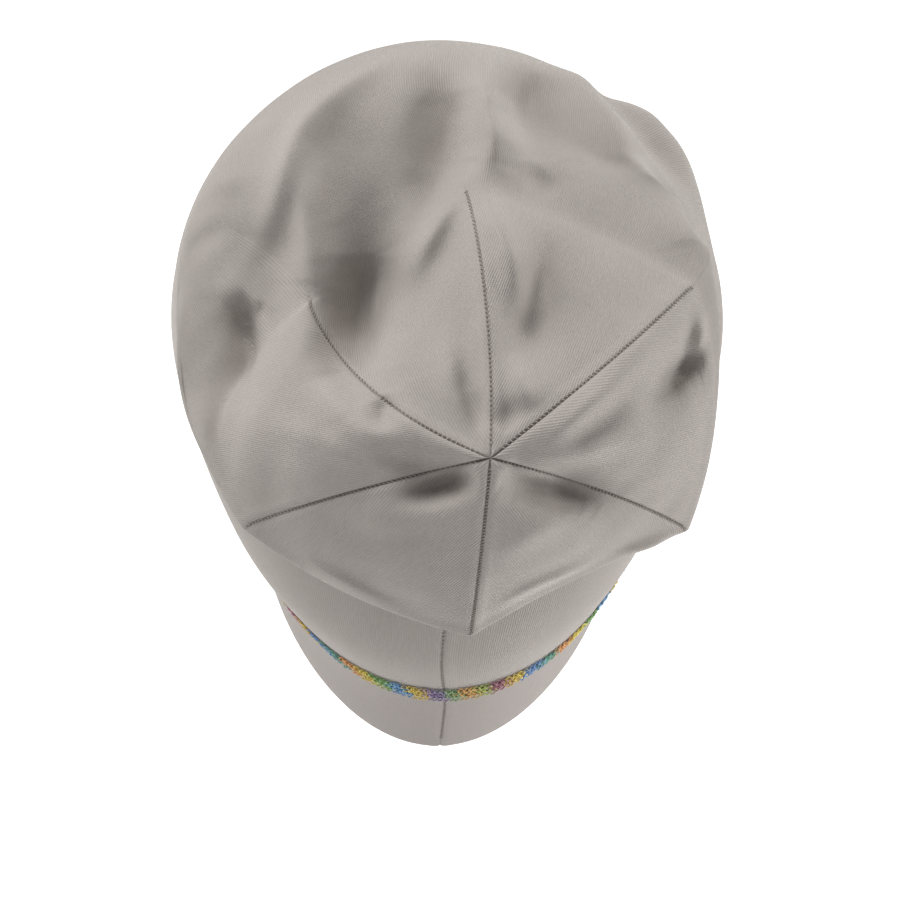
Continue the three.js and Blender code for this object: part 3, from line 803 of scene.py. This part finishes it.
class StageSettings(bpy.types.PropertyGroup):
    """The camera, the lights and the floor."""

    distance: FloatProperty(
        name="Distance", description="Camera distance from the aim",
        default=0.6394, unit="LENGTH")
    elevation: FloatProperty(
        name="Elevation", description="Camera angle above level",
        default=math.radians(40), subtype="ANGLE")
    lens: FloatProperty(
        name="Lens", description="Focal length on a 36 mm sensor",
        default=68.76, unit="CAMERA")
    aim: FloatVectorProperty(
        name="Aim", description="Point the camera looks at",
        default=(-0.004, 0.0401, 0.0688), size=3, subtype="TRANSLATION")
    floor_drop: FloatProperty(
        name="Floor", description="Floor below the head opening",
        default=0.42, unit="LENGTH")
    floor_colour: FloatVectorProperty(
        name="Floor colour", description="Colour of the floor",
        default=linear("#f4f4f4"), size=4, subtype="COLOR")


def crown_rows():
    """Values of v up the crown, closer together round the turn at the corners of the darts."""
    runs = []
    start = JOINT_V + JOINT_GAP_V
    for end, count in CROWN_RUNS:
        runs.append(np.linspace(start, end, count)[:-1])
        start = end
    return np.append(np.concatenate(runs), start)


class CAP_OT_crown(bpy.types.Operator):
    """Makes the jersey above the joint, with its darts, folds and seams."""

    bl_idname = "cap.crown"
    bl_label = "Crown"

    def execute(self, context):
        cloth = context.scene.cap_cloth
        wall = cloth.wall / MM
        depth = cloth.seam_depth / MM
        u = warped_columns(COLUMNS)
        v = crown_rows()
        points, normals, seam = cloth_grid(u, v, depth)
        mesh = ClothMesh()
        outer = mesh.add(points, seam)
        mesh.add_quads(outer, len(v), u, v)
        rim = mesh.add(points[0] - wall * normals[0], 0.0)
        mesh.add_strip(rim, outer, u, v[0], v[0])
        # The lining side follows the folds and wrinkles, without the seams and on fewer points.
        lined = folded_points(u, v)
        every = LINING_EVERY
        rows = np.unique(np.append(np.arange(every, len(v), every), len(v) - 1))
        lining_u = u[::every]
        inner = mesh.add((lined - wall * grid_normals(lined))[rows][:, ::every], 0.0)
        mesh.add_thinning(rim, inner, every, u, v[0], v[rows[0]])
        mesh.add_quads(inner, len(rows), lining_u, v[rows], inward=True)
        # The apex counts as fully deep in a seam, so it gets the full painted seam shade.
        tip = mesh.add(APEX[None] + APEX_DIP * depth, 1.0)
        mesh.add_fan(outer + (len(v) - 1) * len(u), tip, u, v[-1])
        inner_tip = mesh.add(APEX[None] - wall * unit(normals[-1].mean(0)), 0.0)
        mesh.add_fan(inner + (len(rows) - 1) * len(lining_u), inner_tip, lining_u, v[-1], inward=True)
        piece = mesh.build("crown_cloth", jersey_material("cotton_jersey", cloth, cloth.colour))
        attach(piece, BODY)
        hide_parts("crown")
        return {"FINISHED"}


# Stitches of the dart seams and the back seam: from and to v, and the seam's length. The back
# seam has none near the joint. The directions along a seam are read from the cloth this far away.
DART_STITCHES = (1.03, 1.95, 95)
BACK_STITCHES = (0.03, 0.97, 190)
JOINT_CLEAR = 0.03
SEAM_STEP = 0.02
# One stitch: points, half length, slant, height over the cloth, how far its ends sink, radius.
STITCH_POINTS = 5
STITCH_HALF = 0.75
STITCH_SLANT = 0.45
STITCH_LIFT = 0.12
STITCH_SINK = 0.45
STITCH_RADIUS = 0.17


def stitch_rows(run, spacing):
    """Values of v for evenly spaced stitches along a run."""
    start, end, length = run
    return np.linspace(start, end, int(length * MM / spacing))


class CAP_OT_stitches(bpy.types.Operator):
    """Makes the short stitches that lie across the dart seams and the back seam."""

    bl_idname = "cap.stitches"
    bl_label = "Seam stitches"

    def execute(self, context):
        cloth = context.scene.cap_cloth
        rng = np.random.default_rng(3)
        dart_v = stitch_rows(DART_STITCHES, cloth.stitch)
        back_v = stitch_rows(BACK_STITCHES, cloth.stitch)
        back_v = back_v[np.abs(back_v - JOINT_V) > JOINT_CLEAR]
        frames = [seam_frame(dart, dart_v) for dart in range(DARTS)] + [seam_frame(BACK, back_v)]
        centre, around, up, out = (np.concatenate(parts) for parts in zip(*frames))
        # Each stitch bridges the groove on a slant, its ends sunk into the cloth.
        across = np.linspace(-1, 1, STITCH_POINTS)
        half = STITCH_HALF * (1 + rng.normal(0, 0.1, len(centre)))
        lift = STITCH_LIFT - STITCH_SINK * across ** 4
        paths = (
            centre[:, None]
            + (half[:, None] * across)[..., None] * around[:, None]
            + (half[:, None] * STITCH_SLANT * across)[..., None] * up[:, None]
            + lift[None, :, None] * out[:, None]
        )
        points, quads = tubes_along(paths, False, STITCH_RADIUS)
        dye = np.tile(linear("#a0988f"), (len(points), 1))
        material = thread_material("grey_sewing_thread")
        piece = thread_piece("seam_stitches", points, quads, dye, material)
        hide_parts("crown")
        return {"FINISHED"}


class CAP_OT_hem_band(bpy.types.Operator):
    """Makes the doubled band below the joint, its lower edge rounded."""

    bl_idname = "cap.hem_band"
    bl_label = "Hem band"

    def execute(self, context):
        cloth = context.scene.cap_cloth
        wall = cloth.wall / MM
        u = warped_columns(COLUMNS)
        v = np.linspace(0.0, JOINT_V - JOINT_GAP_V, BAND_ROWS)
        points, normals, seam = cloth_grid(u, v, cloth.seam_depth / MM)
        down = unit(points[0] - points[1])
        mesh = ClothMesh()
        outer = mesh.add(points, seam)
        mesh.add_quads(outer, len(v), u, v)
        # The edge turns under in half a circle as thick as the wall.
        start = outer
        for step in range(1, EDGE_STEPS + 1):
            angle = math.pi * step / EDGE_STEPS
            inward = normals[0] * wall / 2 * (1 - math.cos(angle))
            turned = mesh.add(points[0] - inward + down * wall / 2 * math.sin(angle), 0.0)
            mesh.add_strip(turned, start, u, v[0], v[0])
            start = turned
        inner = mesh.add((points - wall * normals)[1::BAND_EVERY], 0.0)
        inner_v = v[1::BAND_EVERY]
        mesh.add_strip(inner, start, u, inner_v[0], v[0])
        mesh.add_quads(inner, len(inner_v), u, inner_v, inward=True)
        last = inner + (len(inner_v) - 1) * len(u)
        mesh.add_strip(outer + (len(v) - 1) * len(u), last, u, v[-1], v[-1])
        piece = mesh.build("hem_band_cloth", jersey_material("stretched_jersey", cloth, cloth.band_colour))
        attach(piece, BODY)
        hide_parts("hem_band")
        return {"FINISHED"}


# One loop of the stripe: points, half length, half width, lean in radians, the clear height
# over the cloth, and how much higher its two crossings bounce, with where along it they come.
LOOP_POINTS = 12
LOOP_LONG = 1.75
LOOP_WIDE = 0.95
LOOP_TILT = 0.75
LOOP_CLEAR = 0.15
LOOP_BOUNCE = 0.35
LOOP_PHASE = 0.6

# The dyes of the thread in the order they come round the cap, and which comes first.
DYES = [linear(c) for c in (
    "#4f8fd0", "#3f9c86", "#e39a3c", "#e3cf2e", "#6fae4a", "#4a9bd2", "#e6c928", "#8a6fb0",
    "#7fae6a", "#e2a93a", "#a8bb3f", "#a34d70", "#e4c722",
)]
FIRST_DYE = 11
# The share of the cloth's grey that the thin, matt thread takes on.
FADE = 0.25
# In patches: how far the dye shifts from row to row, and the stretch where two dyes blend.
ROW_SHIFT = 0.16
DYE_BLEND = 0.3


class CAP_OT_stripe(bpy.types.Operator):
    """Makes the stripe of coloured loops over the joint."""

    bl_idname = "cap.stripe"
    bl_label = "Stitched stripe"

    def execute(self, context):
        stripe = context.scene.cap_stripe
        rng = np.random.default_rng(7)
        rows, loops = stripe.rows, stripe.loops
        row, loop = (a.reshape(-1) for a in np.meshgrid(np.arange(rows), np.arange(loops), indexing="ij"))
        count = len(row)
        # Every second row is set off by half a loop, and no loop sits quite where it should.
        u = (loop + 0.5 * (row % 2) + rng.normal(0, 0.12, count)) * (DARTS / loops)
        height = stripe.height / MM
        v = JOINT_V + ((row + 0.5) / rows - 0.5) * height / TUBE_LENGTH + rng.normal(0, 0.0007, count)
        centre, around, up, out = surface_frame(u, v)
        # Each loop is an oval that leans one way or the other by row, and bounces up twice.
        angle = np.arange(LOOP_POINTS) / LOOP_POINTS * TAU
        long_half = LOOP_LONG * (1 + rng.normal(0, 0.1, count))
        wide_half = LOOP_WIDE * (1 + rng.normal(0, 0.12, count))
        lean = np.where(row % 2 == 0, LOOP_TILT, -LOOP_TILT) + rng.normal(0, 0.18, count)
        far = long_half[:, None] * np.cos(angle)
        near = wide_half[:, None] * np.sin(angle)
        cos_lean = np.cos(lean)[:, None]
        sin_lean = np.sin(lean)[:, None]
        radius = stripe.thread / MM / 2
        bounce = LOOP_BOUNCE * (1 + np.sin(angle * 2 + LOOP_PHASE))
        lift = radius + LOOP_CLEAR + bounce * (1 + rng.normal(0, 0.2, count))[:, None]
        paths = (
            centre[:, None]
            + (far * cos_lean - near * sin_lean)[..., None] * around[:, None]
            + (far * sin_lean + near * cos_lean)[..., None] * up[:, None]
            + lift[..., None] * out[:, None]
        )
        points, quads = tubes_along(paths, True, radius)
        # The thread changes dye every few loops, so the rows side by side show one dye in a patch.
        shift = (row - (rows - 1) / 2) * ROW_SHIFT
        length = loop / loops * stripe.patches + shift + rng.normal(0, 0.16, count)
        patch = np.floor(length).astype(int) + FIRST_DYE
        mix = np.clip((length % 1 - (1 - DYE_BLEND)) / DYE_BLEND, 0, 1)[:, None]
        dyes = np.array(DYES) * (1 - FADE) + np.array(linear("#b5ada6")) * FADE
        dye = dyes[patch % len(dyes)] * (1 - mix) + dyes[(patch + 1) % len(dyes)] * mix
        dye = np.repeat(dye, LOOP_POINTS * THREAD_SIDES, axis=0)
        material = thread_material("space_dyed_thread")
        piece = thread_piece("stripe_loops", points, quads, dye, material)
        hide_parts("stitched_stripe")
        return {"FINISHED"}


# The soft lights: name, place in metres, width in metres and power in watts.
LIGHTS = (
    ("key", (0.45, -0.35, 1.7), 0.8, 21),
    ("key_right", (-1.45, 0.1, 0.5), 0.7, 14),
    ("fill_left", (1.4, -0.3, 0.95), 1.1, 14),
    ("fill_low", (0.0, 1.6, 0.5), 1.1, 3),
)
# How bright the white surroundings are, and half the width of the floor in metres.
SURROUND = 0.2
FLOOR_HALF = 6.0


class CAP_OT_stage(bpy.types.Operator):
    """Sets the camera, the soft lights and the pale floor."""

    bl_idname = "cap.stage"
    bl_label = "Stage"

    def execute(self, context):
        stage = context.scene.cap_stage
        aim = Vector(stage.aim)
        back = Vector((0, math.cos(stage.elevation), math.sin(stage.elevation)))
        camera = bpy.data.objects.new("camera", bpy.data.cameras.new("camera"))
        camera.location = aim + back * stage.distance
        camera.rotation_euler = (-back).to_track_quat("-Z", "Y").to_euler()
        camera.data.lens = stage.lens
        camera.data.sensor_width = 36
        camera.data.clip_start = 0.01
        camera.data.clip_end = 20
        context.collection.objects.link(camera)
        context.scene.camera = camera
        context.scene.view_settings.view_transform = "Standard"
        for name, place, size, power in LIGHTS:
            light = bpy.data.lights.new(name, "AREA")
            light.size = size
            light.energy = power
            lamp = bpy.data.objects.new(name, light)
            lamp.location = place
            lamp.rotation_euler = (aim - Vector(place)).to_track_quat("-Z", "Y").to_euler()
            context.collection.objects.link(lamp)
        world = bpy.data.worlds.new("studio")
        world.use_nodes = True
        world.node_tree.nodes["Background"].inputs[0].default_value = (1, 1, 1, 1)
        world.node_tree.nodes["Background"].inputs[1].default_value = SURROUND
        context.scene.world = world
        half = FLOOR_HALF
        corners = ((-half, -half), (half, -half), (half, half), (-half, half))
        mesh = bpy.data.meshes.new("floor")
        mesh.from_pydata([(x, y, -stage.floor_drop) for x, y in corners], [], [(0, 1, 2, 3)])
        floor = bpy.data.objects.new("floor", mesh)
        context.collection.objects.link(floor)
        # Matt paint that glows a little, so the floor looks white behind the cap.
        material, nodes = empty_material("painted_floor")
        give_surface(nodes, {
            "Base Color": stage.floor_colour,
            "Roughness": 0.9,
            "Emission Color": stage.floor_colour,
            "Emission Strength": 0.55,
        })
        mesh.materials.append(material)
        return {"FINISHED"}


class CAP_PT_sidebar(bpy.types.Panel):
    """Lists the cap's pieces and their sizes."""

    bl_label = "Long jersey cap"
    bl_idname = "CAP_PT_sidebar"
    bl_space_type = "VIEW_3D"
    bl_region_type = "UI"
    bl_category = "Cap"

    def draw(self, context):
        for group, operators in (
            (context.scene.cap_cloth, ("cap.crown", "cap.stitches", "cap.hem_band")),
            (context.scene.cap_stripe, ("cap.stripe",)),
            (context.scene.cap_stage, ("cap.stage",)),
        ):
            box = self.layout.box()
            for name in group.bl_rna.properties.keys():
                if name not in ("rna_type", "name"):
                    box.prop(group, name)
            for operator in operators:
                box.operator(operator)


CLASSES = (
    ClothSettings, StripeSettings, StageSettings,
    CAP_OT_crown, CAP_OT_stitches, CAP_OT_hem_band, CAP_OT_stripe, CAP_OT_stage,
    CAP_PT_sidebar,
)


def register():
    for cls in CLASSES:
        bpy.utils.register_class(cls)
    bpy.types.Scene.cap_cloth = PointerProperty(type=ClothSettings)
    bpy.types.Scene.cap_stripe = PointerProperty(type=StripeSettings)
    bpy.types.Scene.cap_stage = PointerProperty(type=StageSettings)


def unregister():
    del bpy.types.Scene.cap_stage
    del bpy.types.Scene.cap_stripe
    del bpy.types.Scene.cap_cloth
    for cls in reversed(CLASSES):
        bpy.utils.unregister_class(cls)


def main():
    register()
    bpy.ops.cap.crown()
    bpy.ops.cap.stitches()
    bpy.ops.cap.hem_band()
    bpy.ops.cap.stripe()
    bpy.ops.cap.stage()


if __name__ == "__main__":
    main()
